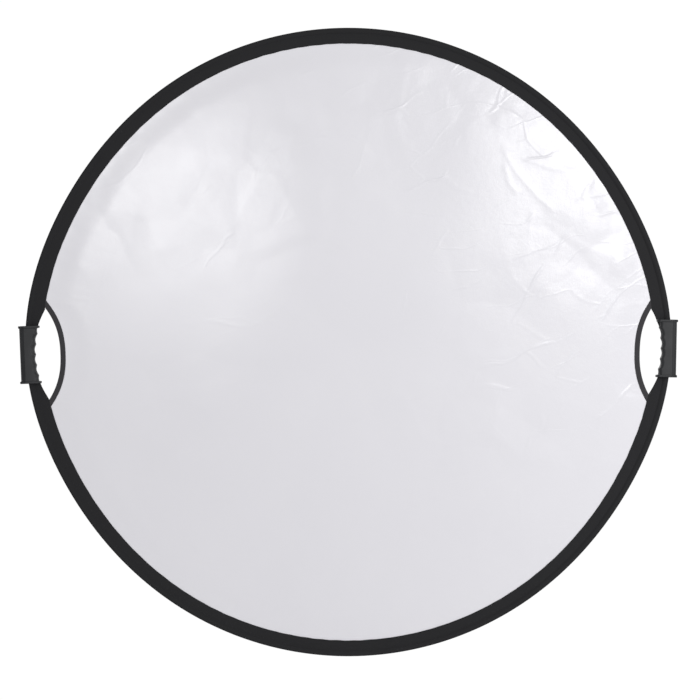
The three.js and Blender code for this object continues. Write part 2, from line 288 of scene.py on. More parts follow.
def make_cage():
    """A lattice round the disc, each column held by one body, that bends what is in it smoothly."""
    data = bpy.data.lattices.new("bending_cage")
    cage = bpy.data.objects.new("bending_cage", data)
    bpy.context.scene.collection.objects.link(cage)
    data.points_u, data.points_v, data.points_w = CAGE_COLUMNS, 2, 2
    data.interpolation_type_u = "KEY_BSPLINE"
    data.interpolation_type_v = "KEY_LINEAR"
    data.interpolation_type_w = "KEY_LINEAR"
    scale = MM * np.array(CAGE_SIZE) / np.ptp([tuple(p.co) for p in data.points], axis=0)
    cage.matrix_world = Matrix.Diagonal([*scale.tolist(), 1.0])
    bpy.context.view_layer.update()
    held = {}
    for index, point in enumerate(data.points):
        x = (cage.matrix_world @ point.co).x / MM
        rank = sum(abs(x) > hinge for hinge in HINGES)
        side_name = "left" if x < 0 else "right"
        body = "centre" if rank == 0 else f"{side_name}_{('1', '2', 'tip')[rank - 1]}"
        held.setdefault(body, []).append(index)
    for body, indices in held.items():
        hook = cage.modifiers.new(body, "HOOK")
        hook.object = frame["bodies"][body]
        hook.falloff_type = "NONE"
        hook.matrix_inverse = cage.matrix_world.copy()
        hook.vertex_indices_set(indices)
    cage.hide_render = True
    return cage


CAGE = make_cage()
LIE_FLAT = lie_flat_nodes()


def bend(obj):
    """obj bends with the disc inside one span."""
    places = obj.data.attributes.new("flat", "FLOAT_VECTOR", "POINT")
    co = np.zeros(len(obj.data.vertices) * 3, np.float32)
    obj.data.vertices.foreach_get("co", co)
    places.data.foreach_set("vector", co)
    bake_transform(obj)
    flat = obj.modifiers.new("lie_flat", "NODES")
    flat.node_group = LIE_FLAT
    obj.modifiers.move(len(obj.modifiers) - 1, 0)
    obj.modifiers.new("bending", "LATTICE").object = CAGE


# ---- Materials ----

class Material(Nodes):
    """A material with one Principled shader."""

    def __init__(self, name, **values):
        self.material = bpy.data.materials.new(name)
        self.material.use_nodes = True
        super().__init__(self.material.node_tree)
        self.shader = self.tree.nodes["Principled BSDF"]
        for socket, value in values.items():
            self.shader.inputs[socket.replace("_", " ")].default_value = value

    def place(self, scale=(1, 1, 1), turn=0.0, of="UV"):
        source = self.node("ShaderNodeTexCoord").outputs[of]
        return self.node("ShaderNodeMapping", {
            "Vector": source, "Scale": scale, "Rotation": (0, 0, turn),
        }).outputs[0]

    def noise(self, scale, detail=3.0, rough=0.5, stretch=(1, 1, 1), of="UV"):
        return self.node("ShaderNodeTexNoise", {
            "Vector": self.place(stretch, of=of), "Scale": scale, "Detail": detail, "Roughness": rough,
        }).outputs["Fac"]

    def wave(self, pitch, turn=0.0):
        """Bands across X, one in each pitch in millimetres."""
        return self.node("ShaderNodeTexWave", {
            "Vector": self.place(turn=turn), "Scale": math.pi / 10 / (pitch * MM),
        }, wave_type="BANDS", bands_direction="X", wave_profile="SIN").outputs["Fac"]

    def creases(self, size, width, turn):
        """1 along fine crooked lines, longer one way than the other; size and width in millimetres."""
        warp = self.node("ShaderNodeTexNoise", {"Vector": self.place(), "Scale": 9.0, "Detail": 2.0})
        crooked = self.node("ShaderNodeVectorMath", {
            0: warp.outputs["Color"], 1: (0.06, 0.06, 0.06), 2: self.place(),
        }, operation="MULTIPLY_ADD").outputs[0]
        drawn = self.node("ShaderNodeMapping", {
            "Vector": crooked, "Rotation": (0, 0, turn), "Scale": (1, 2.6, 1),
        }, vector_type="TEXTURE").outputs[0]
        edge = self.node("ShaderNodeTexVoronoi", {
            "Vector": drawn, "Scale": 1 / (size * MM),
        }, feature="DISTANCE_TO_EDGE", voronoi_dimensions="2D").outputs["Distance"]
        line = self.spread(edge, 1.0, 0.0, 0.0, width / size, "SMOOTHSTEP")
        patch = self.spread(self.noise(11.0, 2.0), 0.0, 1.0, 0.46, 0.60)
        return self.math("MULTIPLY", line, patch)

    def towards(self, turn, low, high):
        """From 0 to 1 between two distances in metres, along the direction at this angle."""
        across = self.node("ShaderNodeSeparateXYZ", {0: self.place(turn=-turn)}).outputs["X"]
        return self.spread(across, 0.0, 1.0, low, high, "SMOOTHSTEP")

    def weave(self, pitch):
        """Threads over and under each other: the higher of two crossing sets of bands."""
        return self.math("MAXIMUM", self.wave(pitch), self.wave(pitch, math.pi / 2))

    def ramp(self, source, *stops):
        made = self.node("ShaderNodeValToRGB", {"Fac": source})
        elements = made.color_ramp.elements
        while len(elements) < len(stops):
            elements.new(0.5)
        for element, (position, colour) in zip(elements, stops):
            element.position = position
            element.color = (*colour, 1)
        return made.outputs["Color"]

    def bump(self, height, strength, depth, below=None):
        """depth is the relief's height in millimetres."""
        links = {"Height": height, "Strength": strength, "Distance": depth * MM}
        if below is not None:
            links["Normal"] = below
        return self.node("ShaderNodeBump", links).outputs["Normal"]

    def set(self, **links):
        for socket, source in links.items():
            self.tree.links.new(source, self.shader.inputs[socket.replace("_", " ")])
        return self.material


def white_cloth():
    made = Material("white_satin_cloth", Specular_IOR_Level=0.5, Sheen_Weight=0.06, Sheen_Roughness=0.4)
    patch = made.noise(5.0, 3.0)
    colour = made.ramp(patch, (0.3, (0.85, 0.84, 0.887)), (0.7, (0.865, 0.855, 0.90)))
    rough = made.spread(made.noise(14.0, 4.0), 0.20, 0.27)
    worn = made.spread(made.towards(0.55, 0.0, 0.36), 0.16, 1.0)
    long = made.creases(120.0, 3.4, -0.85)
    short = made.creases(46.0, 2.4, -1.2)
    folds = made.math("MULTIPLY", made.math("ADD", long, made.math("MULTIPLY", short, 0.45)), worn)
    folded = made.bump(folds, 0.7, 0.42)
    crinkle = made.bump(made.math("MULTIPLY", made.noise(95.0, 5.0, 0.7), worn), 0.5, 0.42, folded)
    weave = made.bump(made.weave(0.55), 0.08, 0.05, crinkle)
    return made.set(Base_Color=colour, Roughness=rough, Normal=weave)


def silver_cloth():
    made = Material("silver_metallised_cloth", Metallic=0.85, Sheen_Weight=0.05)
    patch = made.noise(7.0, 4.0)
    colour = made.ramp(patch, (0.3, (0.62, 0.63, 0.65)), (0.7, (0.70, 0.71, 0.73)))
    rough = made.spread(made.noise(22.0, 5.0), 0.22, 0.36)
    folds = made.math("ADD", made.creases(80.0, 3.0, 2.1), made.creases(35.0, 2.2, 1.2))
    folded = made.bump(folds, 0.6, 0.45)
    crinkle = made.bump(made.noise(48.0, 5.0, 0.62), 0.5, 0.5, folded)
    weave = made.bump(made.weave(0.6), 0.15, 0.05, crinkle)
    return made.set(Base_Color=colour, Roughness=rough, Normal=weave)


def black_cloth():
    made = Material(
        "black_woven_sleeve", Specular_IOR_Level=0.18, Sheen_Weight=0.05, Sheen_Roughness=0.5,
    )
    thread = made.weave(0.9)
    fade = made.noise(18.0, 4.0)
    mixed = made.math("MULTIPLY", made.spread(thread, 0.75, 1.0), made.spread(fade, 0.8, 1.15))
    colour = made.ramp(mixed, (0.4, (0.007, 0.007, 0.008)), (1.0, (0.022, 0.022, 0.024)))
    rough = made.spread(fade, 0.72, 0.9)
    crinkle = made.bump(made.noise(120.0, 4.0), 0.3, 0.4)
    weave = made.bump(thread, 0.5, 0.12, crinkle)
    return made.set(Base_Color=colour, Roughness=rough, Normal=weave)


def binding_tape():
    made = Material(
        "ribbed_binding_tape", Specular_IOR_Level=0.35, Sheen_Weight=0.25, Sheen_Roughness=0.5,
    )
    rib = made.wave(1.1)
    fade = made.noise(60.0, 3.0)
    mixed = made.math("MULTIPLY", made.spread(rib, 0.7, 1.0), made.spread(fade, 0.85, 1.15))
    colour = made.ramp(mixed, (0.4, (0.010, 0.009, 0.011)), (1.0, (0.042, 0.040, 0.045)))
    weave = made.bump(rib, 0.5, 0.15)
    return made.set(Base_Color=colour, Roughness=made.spread(fade, 0.7, 0.85), Normal=weave)


def thread():
    made = Material("black_thread", Specular_IOR_Level=0.4, Sheen_Weight=0.2)
    twist = made.wave(0.5, 0.7)
    colour = made.ramp(twist, (0.0, (0.012, 0.012, 0.013)), (1.0, (0.045, 0.045, 0.05)))
    return made.set(Base_Color=colour, Roughness=made.spread(twist, 0.5, 0.7))


def grip_plastic():
    made = Material("moulded_grip_plastic", Specular_IOR_Level=0.36)
    cloud = made.noise(40.0, 4.0, of="Object")
    colour = made.ramp(cloud, (0.3, (0.019, 0.020, 0.022)), (0.7, (0.026, 0.027, 0.030)))
    scuff = made.noise(300.0, 5.0, 0.7, stretch=(1, 1, 0.25), of="Object")
    rough = made.spread(scuff, 0.42, 0.60)
    grain = made.bump(made.noise(2600.0, 2.0, of="Object"), 0.35, 0.06)
    return made.set(Base_Color=colour, Roughness=rough, Normal=grain)


def spring_steel():
    made = Material("spring_steel", Metallic=1.0)
    brushed = made.noise(900.0, 3.0, stretch=(0.05, 1, 1))
    colour = made.ramp(brushed, (0.2, (0.32, 0.33, 0.36)), (0.8, (0.52, 0.53, 0.56)))
    return made.set(Base_Color=colour, Roughness=made.spread(brushed, 0.25, 0.45))


def screw_steel():
    made = Material("blackened_screw_steel", Metallic=1.0)
    cloud = made.noise(800.0, 4.0, of="Object")
    colour = made.ramp(cloud, (0.3, (0.05, 0.052, 0.056)), (0.7, (0.14, 0.145, 0.15)))
    return made.set(Base_Color=colour, Roughness=made.spread(cloud, 0.3, 0.5))


WHITE = white_cloth()
SILVER = silver_cloth()
BLACK = black_cloth()
TAPE = binding_tape()
THREAD = thread()
PLASTIC = grip_plastic()
STEEL = spring_steel()
SCREW_STEEL = screw_steel()

# ---- The cloths ----

CLOTH_STEP = 4.0
LOFT = 1.3                # how far each cloth stands off the disc's middle plane, past its rim


def cloth_outline(step):
    """The cloths' cut edge, anticlockwise from the right hand hole, as points [x, z]."""
    ring = np.linspace(0, 2 * math.pi, int(2 * math.pi * DISC_RADIUS / step), endpoint=False)
    radius = rim_radius(ring) - CLOTH_INSET
    x, z = radius * np.cos(ring), radius * np.sin(ring)
    outline = []
    arcs = {"right": (-math.pi / 2, math.pi / 2), "left": (math.pi / 2, 1.5 * math.pi)}
    for name in ("right", "left"):
        side = SIDES[name]
        low, high = arcs[name]
        _, half = hole_frame(side)
        reach = half + 2
        out, up = in_side(side, side["hole_drop"], x, z)
        turn = (ring - low) % (2 * math.pi) + low
        clear = (turn < high) & ((np.abs(up) > reach) | (out < 0))
        above = up > 0 if side["sign"] > 0 else up < 0
        first, second = clear & ~above, clear & above
        shares = np.linspace(-reach / half, reach / half, int(2 * reach / step))
        bow = panel_edge(side, shares) - BINDING_FOLD
        notch = np.stack(at_side(side, side["hole_drop"], bow, shares * half), axis=1)
        if side["sign"] < 0:
            notch = notch[::-1]
        for part in (first, second):
            order = np.argsort(turn[part])
            points = np.stack([x[part][order], z[part][order]], axis=1)
            outline.extend(points.tolist())
            if part is first:
                outline.extend(notch.tolist())
    return np.array(outline)


def inside_cloth(x, z, margin):
    """Whether each point is inside the cloths' cut edge by the margin."""
    angle = np.arctan2(z, x)
    inside = np.hypot(x, z) < rim_radius(angle) - CLOTH_INSET - margin
    for side in SIDES.values():
        _, half = hole_frame(side)
        out, up = in_side(side, side["hole_drop"], x, z)
        edge = panel_edge(side, np.clip(up / half, -1.1, 1.1)) - BINDING_FOLD - margin
        inside &= ~((out > edge) & (np.abs(up) < half + 2 + margin))
    return inside


def cloth_net(step):
    """Points [x, z] and triangles over the cloth, with edges along the seams between the spans."""
    outline = cloth_outline(step)
    rows = np.arange(-DISC_RADIUS, DISC_RADIUS, step * math.sqrt(0.75))
    grid = []
    for j, z in enumerate(rows):
        x = np.arange(-DISC_RADIUS - 15 + (j % 2) * step / 2, DISC_RADIUS + 15, step)
        grid.append(np.stack([x, np.full_like(x, z)], axis=1))
    grid = np.concatenate(grid)
    seams = [sign * seam for seam in SEAMS for sign in ((1,) if seam == 0 else (-1, 1))]
    keep = inside_cloth(grid[:, 0], grid[:, 1], step * 0.55)
    for seam in seams:
        keep &= np.abs(grid[:, 0] - seam) > step * 0.45
    grid = grid[keep]
    points = [outline, grid]
    edges = [(i, (i + 1) % len(outline)) for i in range(len(outline))]
    count = len(outline) + len(grid)
    for seam in seams:
        top = math.sqrt((DISC_RADIUS - CLOTH_INSET + 3) ** 2 - seam**2)
        line = np.linspace(-top, top, int(2 * top / step))
        points.append(np.stack([np.full_like(line, seam), line], axis=1))
        edges += [(count + i, count + i + 1) for i in range(len(line) - 1)]
        count += len(line)
    points = np.concatenate(points)
    made = delaunay_2d_cdt([Vector(p) for p in points.tolist()], edges, [], 1, 1e-5, False)
    points = np.array([tuple(v) for v in made[0]])
    faces = np.array(made[2], np.int32)
    middle = points[faces].mean(axis=1)
    keep = inside_cloth(middle[:, 0], middle[:, 1], -0.3)
    return points, faces[keep]


def waves(x, z, seed, count, shortest, longest):
    """A smooth seeded unevenness, about -1 to 1."""
    random = rng(seed)
    total = np.zeros_like(x)
    for _ in range(count):
        turn, phase = random.uniform(0, 2 * math.pi, 2)
        rate = 2 * math.pi / random.uniform(shortest, longest)
        total += np.cos(rate * (x * math.cos(turn) + z * math.sin(turn)) + phase)
    return total / math.sqrt(count)


def facets(x, z, seed, spacing):
    """A dish round each scattered centre, meeting in straight creases; two of them differ by facets."""
    random = rng(seed)
    side = np.arange(-600, 600, spacing)
    centres = np.stack(np.meshgrid(side, side), axis=-1).reshape(-1, 2)
    centres = centres + random.uniform(-0.48, 0.48, centres.shape) * spacing
    level = random.uniform(-0.18, 0.18, len(centres)) * spacing**2
    best = np.full(len(x), np.inf)
    for (cx, cz), raised in zip(centres, level):
        best = np.minimum(best, (x - cx) ** 2 + (z - cz) ** 2 + raised)
    return best


def near_line(x, z, line):
    """The distance of each point from a line of points."""
    best = np.full(len(x), np.inf)
    for (x0, z0), (x1, z1) in zip(line, line[1:]):
        dx, dz = x1 - x0, z1 - z0
        along = np.clip(((x - x0) * dx + (z - z0) * dz) / (dx * dx + dz * dz), 0, 1)
        best = np.minimum(best, np.hypot(x - x0 - along * dx, z - z0 - along * dz))
    return best


# The cloth's lasting creases, as points [x, z] in the disc's plane.
CREASES = [
    [(265, 328), (282, 295), (300, 274), (325, 245), (348, 225)],
    [(271, 324), (342, 297), (387, 291)],
    [(267, 299), (275, 270), (286, 256)],
    [(315, 220), (308, 191)],
    [(265, 406), (288, 377)],
]


def rim_fade(x, z, reach):
    """0 at the sleeve's inner edge and the hand holes, 1 from the reach inwards."""
    angle = np.arctan2(z, x)
    inwards = rim_radius(angle) - band_width(angle) - np.hypot(x, z)
    for side in SIDES.values():
        _, half = hole_frame(side)
        out, up = in_side(side, side["hole_drop"], x, z)
        edge = panel_edge(side, np.clip(up / half, -1, 1)) - 9.5
        beside = np.clip((np.abs(up) - half) / 30, 0, 1) * 60
        inwards = np.minimum(inwards, edge - out + beside)
    t = np.clip(inwards / reach, 0, 1)
    return t * t * (3 - 2 * t)


def sag(x, z):
    """The slow unevenness that both cloths share."""
    return 0.9 * waves(x, z, 4, 12, 190, 460) * rim_fade(x, z, 90)


def pull(x, z, seed):
    """Short folds that run in from the stitched rim."""
    angle, radius = np.arctan2(z, x), np.hypot(x, z)
    inwards = np.clip(rim_radius(angle) - band_width(angle) - radius, 0, None)
    around = angle * DISC_RADIUS
    ripple = waves(around, radius * 0.15, seed, 8, 22, 60)
    return 0.16 * ripple * np.exp(-inwards / 26) * rim_fade(x, z, 10)


def crumple(x, z, seed, share):
    """Folded facets, stronger on some parts of the cloth than on others."""
    patch = 0.5 + 0.5 * np.tanh(1.2 * waves(x, z, seed + 9, 6, 240, 600))
    wide = facets(x, z, seed, 92.0) - facets(x, z, seed + 1, 104.0)
    fine = facets(x, z, seed + 2, 46.0) - facets(x, z, seed + 3, 51.0)
    return (1.5e-4 * wide + 1.6e-4 * fine) * patch * share


def white_relief(x, z):
    right = 0.35 + 0.65 / (1 + np.exp(-(x + 0.35 * z - 60) / 90))
    height = 1.4 * crumple(x, z, 21, right) * rim_fade(x, z, 45)
    for line in CREASES:
        height += 0.35 * np.exp(-near_line(x, z, line) / 3.0)
    return height + pull(x, z, 31)


def silver_relief(x, z):
    return 2.2 * crumple(x, z, 55, 0.8) * rim_fade(x, z, 45) + 1.4 * pull(x, z, 36)


def add_cloths():
    for name, facing, face_y, relief, material, slot in (
        ("face_white", -1, CLOTH_FRONT, white_relief, WHITE, "white_cloth"),
        ("face_silver", 1, CLOTH_BACK, silver_relief, SILVER, "silver_cloth"),
    ):
        points, faces = cloth_net(CLOTH_STEP)
        x, z = points[:, 0], points[:, 1]
        lift = relief(x, z) + LOFT * rim_fade(x, z, 45)
        lift = (lift + np.sqrt(lift**2 + 0.04)) / 2
        y = face_y + facing * lift - sag(x, z)
        placed = np.stack([x, y, z], axis=1)
        middle = points[faces].mean(axis=1)[:, 0]
        if facing > 0:
            faces = faces[:, ::-1]
        normals = vertex_normals(placed, faces)
        for span in SPANS:
            chosen = (middle > span["low"]) & (middle < span["high"])
            piece = f"{name}_{span['name']}"
            obj = add_shell(piece, placed, faces, normals, chosen, CLOTH_THICKNESS, material, points)
            bend(obj)
            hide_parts(*cad_nodes(name, span))


def cad_nodes(prefix, span):
    """The CAD nodes of a strip that the piece in this span stands for."""
    side_name, part = span["name"].split("_")
    strips = {"inner": ("1", "centre"), "middle": ("2",), "outer": ("tip",)}
    ends = [strip if strip == "centre" else f"{side_name}_{strip}" for strip in strips[part]]
    return [f"{prefix}_{end}" for end in ends]


# ---- The rim ----

def rim_arcs():
    """Each stretch of the rim within one span: its name, its span and its first and last angle."""
    arcs = []
    band_middle = DISC_RADIUS - BAND_WIDTH / 2
    for span in SPANS:
        near, far = sorted((abs(span["low"]), abs(span["high"])))
        mirror = span["sign"] < 0
        if span["name"].endswith("outer"):
            end = math.acos(near / band_middle)
            middle = math.pi if mirror else 0.0
            arcs.append((span["name"], span, middle - end, middle + end))
            continue
        start, end = math.acos(near / band_middle), math.acos(far / band_middle)
        top = (math.pi - start, math.pi - end) if mirror else (end, start)
        arcs.append((f"top_{span['name']}", span, *top))
        arcs.append((f"bottom_{span['name']}", span, 2 * math.pi - top[1], 2 * math.pi - top[0]))
    return sorted(arcs, key=lambda arc: arc[2])


def lengths_along(line):
    """How far along the line of points each of them lies."""
    return np.concatenate([[0], np.cumsum(np.hypot(*np.diff(line, axis=0).T))])


def swept(section, angles):
    """Points and texture coordinates of a section [inset, y] carried round the rim."""
    inset, y = section(angles)
    radius = rim_radius(angles)[:, None] - inset
    x, z = radius * np.cos(angles)[:, None], radius * np.sin(angles)[:, None]
    points = np.stack([x, y, z], axis=-1).reshape(-1, 3)
    across = lengths_along(np.stack([inset[0], y[0]], axis=1))
    uv = np.stack(np.broadcast_arrays(angles[:, None] * DISC_RADIUS, across[None, :]), axis=-1)
    return points, uv.reshape(-1, 2), inset.shape[1]


def strip_faces(rows, per):
    """The quads of rows of points, each row joined to the next."""
    start = (np.arange(rows - 1)[:, None] * per + np.arange(per - 1)[None, :]).reshape(-1)
    return np.stack([start, start + per, start + per + 1, start + 1], axis=1)


def arc_angles(start, end, step):
    return np.linspace(start, end, max(2, round((end - start) * DISC_RADIUS / step) + 1))


SLEEVE_STEP = 2.4
SLEEVE_THICKNESS = 0.55
TUNNEL_EDGE = 9.3
HEM_STITCH = 0.86         # along the flat part, from the tunnel to the inner edge
TUNNEL_STITCH = 0.07
HEM_PROFILE = [           # along the flat part, and half the thickness there
    (1.0, 0.75), (0.992, 1.28), (0.955, 1.50), (0.90, 1.46), (HEM_STITCH, 1.26), (0.82, 1.46),
    (0.7, 1.50), (0.5, 1.46), (0.3, 1.45), (0.15, 1.42), (TUNNEL_STITCH, 1.22), (0.0, 1.5),
]
TUNNEL_PROFILE = [        # inset, and half the thickness there
    (8.6, 2.15), (7.6, 2.9), (6.2, 3.5), (4.8, 3.8), (3.4, 3.82), (2.1, 3.55), (1.1, 3.0), (0.4, 2.1),
    (0.05, 1.0), (0.0, 0.0),
]


def sleeve_section(angles):
    width = sleeve_width(angles)
    share = np.array([p[0] for p in HEM_PROFILE])
    flat = TUNNEL_EDGE + (width[:, None] - TUNNEL_EDGE) * share
    tunnel = np.broadcast_to([p[0] for p in TUNNEL_PROFILE], (len(angles), len(TUNNEL_PROFILE)))
    inset = np.concatenate([flat, tunnel], axis=1)
    half = np.array([p[1] for p in HEM_PROFILE] + [p[1] for p in TUNNEL_PROFILE])
    x, z = DISC_RADIUS * np.cos(angles), DISC_RADIUS * np.sin(angles)
    on_hem = np.concatenate([share, np.zeros(len(TUNNEL_PROFILE))])
    on_tunnel = np.exp(-((inset - 6.0) / 3.0) ** 2)
    front, back = (
        half + 0.10 * waves(x, z, seed, 6, 7, 13)[:, None] * on_hem
        - 0.12 * np.abs(waves(x, z, seed + 1, 6, 26, 70))[:, None] * on_tunnel
        for seed in (71, 73)
    )
    front[:, -1] = 0
    inset = inset + 0.18 * waves(x, z, 75, 6, 9, 30)[:, None] * on_hem**6
    return (
        np.concatenate([inset, inset[:, -2::-1]], axis=1),
        np.concatenate([-front, back[:, -2::-1]], axis=1),
    )


HOOP_INSET = 2.6
HOOP_GAP = 0.0006         # radians left free at each of the hoop's two ends
HOOP_STEP = 6.0
HOOP_PROFILE = np.array([
    (0.0, -1.8), (0.2, -2.0), (0.8, -2.0), (1.0, -1.8), (1.0, 1.8), (0.8, 2.0), (0.2, 2.0), (0.0, 1.8),
])
SHARP_EDGE = 35.0         # degrees between two faces that meet in a sharp edge


def hoop_section(angles):
    shape = (len(angles), len(HOOP_PROFILE))
    inset, y = HOOP_PROFILE[:, 0] + HOOP_INSET, HOOP_PROFILE[:, 1]
    return np.broadcast_to(inset, shape), np.broadcast_to(y, shape)


def rim_nodes(prefix, name):
    """The CAD nodes that a stretch of the rim stands for."""
    words = name.split("_")
    if len(words) == 2:
        tip = f"{prefix}_{words[0]}_tip"
        return [tip] if prefix == "hoop" else [f"{tip}_{part}" for part in ("upper", "strand", "lower")]
    place, side_name, part = words
    if part == "middle":
        return [f"{prefix}_{place}_{side_name}_2"]
    centre = f"{prefix}_{place}_centre"
    if prefix == "hoop" and place == "bottom":
        centre = f"{prefix}_{place}_centre_{side_name}_end"
    return [f"{prefix}_{place}_{side_name}_1", centre]


def add_sleeve():
    """The sleeve is one net right round the rim, shared out between its arcs."""
    arcs = rim_arcs()
    rounds = [arc_angles(start, end, SLEEVE_STEP) for _, _, start, end in arcs]
    angles = np.concatenate([part[:-1] for part in rounds] + [rounds[-1][-1:]])
    points, uv, per = swept(sleeve_section, angles)
    faces = strip_faces(len(angles), per)
    normals = vertex_normals(points, faces)
    joined = unit(normals[:per] + normals[-per:])
    normals[:per], normals[-per:] = joined, joined
    row = faces[:, 0] // per
    first = 0
    for (name, span, _, _), part in zip(arcs, rounds):
        chosen = (row >= first) & (row < first + len(part) - 1)
        first += len(part) - 1
        piece = f"rim_sleeve_{name}"
        obj = add_shell(piece, points, faces, normals, chosen, SLEEVE_THICKNESS, BLACK, uv)
        bend(obj)
        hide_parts(*rim_nodes("rim_sleeve", name))


def add_hoop():
    """The hoop's two ends meet at the bottom of the disc, inside the ferrule."""
    for name, span, start, end in rim_arcs():
        butts = [abs(edge - 1.5 * math.pi) < 1e-6 for edge in (start, end)]
        angles = arc_angles(start + HOOP_GAP * butts[0], end - HOOP_GAP * butts[1], HOOP_STEP)
        points, uv, per = swept(hoop_section, angles)
        obj = add_loft(f"hoop_{name}", points.reshape(-1, per, 3), STEEL, uv)
        finish_edges(obj)
        bend(obj)
        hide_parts(*rim_nodes("hoop", name))


# ---- Stitches ----

STITCH_PROFILE = [        # shares of its length along it, and of its width there
    (-0.42, 0.6), (-0.18, 1.0), (0.18, 1.0), (0.42, 0.6),
]
STITCH_SIDES = 6
RIM_STITCH = dict(pitch=3.4, length=2.5, width=0.5, lift=0.06, room=2.5)
BINDING_STITCH = dict(pitch=3.2, length=2.3, width=0.45, lift=1.16, ends=5)


def gathered(parts):
    """The points and faces of several meshes as one mesh's."""
    points, faces, count = [], [], 0
    for part_points, part_faces in parts:
        faces += [tuple(v + count for v in face) for face in part_faces]
        points.append(part_points)
        count += len(part_points)
    return np.concatenate(points), faces


def stitches(places, directions, facing, length, width):
    """Small raised threads at places [x, y, z] along directions [x, z], on a face that looks along Y."""
    turn = np.linspace(0, 2 * math.pi, STITCH_SIDES, endpoint=False)
    skin = loft([turn] * len(STITCH_PROFILE))
    parts = []
    for centre, (dx, dz) in zip(places, directions):
        points = [
            (
                centre[0] + along * length * dx - math.cos(a) * thick * width / 2 * dz,
                centre[1] + facing * math.sin(a) * thick * width / 2,
                centre[2] + along * length * dz + math.cos(a) * thick * width / 2 * dx,
            )
            for along, thick in STITCH_PROFILE for a in turn
        ]
        parts.append((points, skin))
    return gathered(parts)


def add_rim_stitches():
    """Two rows on each face of the sleeve; the row beside the tunnel stops where there is no room."""
    size = RIM_STITCH
    for name, span, start, end in rim_arcs():
        count = int((end - start) * DISC_RADIUS / size["pitch"])
        angles = start + (np.arange(count) + 0.5) * (end - start) / count
        inset, y = sleeve_section(angles)
        hem, tunnel = (k for k, p in enumerate(HEM_PROFILE) if p[0] in (HEM_STITCH, TUNNEL_STITCH))
        roomy = inset[:, hem] - inset[:, tunnel] > size["room"]
        parts = []
        for column, rows in ((hem, np.ones(count, bool)), (tunnel, roomy)):
            for facing, k in ((-1, column), (1, inset.shape[1] - 1 - column)):
                radius, turn = (rim_radius(angles) - inset[:, k])[rows], angles[rows]
                height = y[rows, k] + facing * size["lift"]
                centres = np.stack([radius * np.cos(turn), height, radius * np.sin(turn)], axis=1)
                ways = np.stack([-np.sin(turn), np.cos(turn)], axis=1)
                parts.append(stitches(centres, ways, facing, size["length"], size["width"]))
        points, faces = gathered(parts)
        obj = add_mesh(f"rim_stitching_{name}", points, faces, THREAD, uv=points[:, [0, 2]])
        bend(obj)


# ---- The hand holes' binding ----

BINDING_WIDTH = 8.2
BINDING_REACH = 15.0      # how far it runs on past each end of the hole, under the sleeve
BINDING_STEP = 0.36
BINDING_SEAM = 0.8        # the row of stitches, from the fold, as a share of the width
RIB = dict(pitch=1.1, height=0.07)
TAPE_THICKNESS = 0.45
TAPE_PROFILE = [          # across the tape from its cloth edge to its fold, and half the thickness there
    (0.0, 0.75), (0.02, 1.05), (0.08, 1.2), (0.2, 1.12), (0.35, 1.2), (0.6, 1.25), (0.8, 1.22),
    (0.92, 1.0), (0.985, 0.55), (1.0, 0.0),
]


def binding_path(side, step):
    """Points [out, up] along the hole's cloth side and past both tips; their normals and distances."""
    chord, half = hole_frame(side)
    shares = np.linspace(-1, 1, 400)
    path = np.stack([panel_edge(side, shares), shares * half], axis=1)
    first, last = unit(path[[0, -1]] - path[[1, -2]]) * BINDING_REACH + path[[0, -1]]
    path = np.concatenate([[first], path, [last]])
    lengths = lengths_along(path)
    at = np.linspace(0, lengths[-1], int(lengths[-1] / step))
    path = np.stack([np.interp(at, lengths, path[:, k]) for k in range(2)], axis=1)
    way = unit(np.gradient(path, axis=0))
    return path, np.stack([way[:, 1], -way[:, 0]], axis=1), at


def add_bindings():
    for name, side in SIDES.items():
        path, normal, along = binding_path(side, BINDING_STEP)
        profile = TAPE_PROFILE + [(share, -half) for share, half in TAPE_PROFILE[-2::-1]]
        ribs = RIB["height"] * np.sin(2 * math.pi * along / RIB["pitch"])
        points = []
        for share, half in profile:
            out = path - normal * BINDING_WIDTH * (1 - share)
            x, z = at_side(side, side["hole_drop"], out[:, 0], out[:, 1])
            y = -(half + np.sign(half) * ribs * min(1.0, abs(half)))
            points.append(np.stack([x, y, z], axis=1))
        points = np.stack(points, axis=1)
        rows, per = points.shape[:2]
        faces = strip_faces(rows, per)
        if side["sign"] < 0:
            faces = faces[:, ::-1]
        across = lengths_along(np.multiply(profile, (BINDING_WIDTH, 1)))
        uv = np.stack(np.broadcast_arrays(along[:, None], across[None, :]), axis=-1).reshape(-1, 2)
        points = points.reshape(-1, 3)
        obj = add_shell(
            f"handhold_binding_{name}", points, faces, vertex_normals(points, faces),
            np.ones(len(faces), bool), TAPE_THICKNESS, TAPE, uv,
        )
        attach(obj, f"{name}_tip")
        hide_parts(f"handhold_binding_{name}")
        add_binding_stitches(name, side, path, normal, along)


def add_binding_stitches(name, side, path, normal, along):
    size = BINDING_STITCH
    at = np.linspace(size["ends"], along[-1] - size["ends"], int((along[-1] - 8) / size["pitch"]))
    pick = np.searchsorted(along, at)
    line = path[pick] - normal[pick] * BINDING_WIDTH * BINDING_SEAM
    x, z = at_side(side, side["hole_drop"], line[:, 0], line[:, 1])
    ways = np.stack(at_side(side, side["hole_drop"], -normal[pick][:, 1], normal[pick][:, 0]), axis=1)
    points, faces = gathered([
        stitches(
            np.stack([x, np.full_like(x, facing * size["lift"]), z], axis=1),
            ways, facing, size["length"], size["width"],
        )
        for facing in (-1, 1)
    ])
    obj = add_mesh(f"handhold_stitching_{name}", points, faces, THREAD, uv=points[:, [0, 2]])
    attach(obj, f"{name}_tip")


# ---- The grips ----

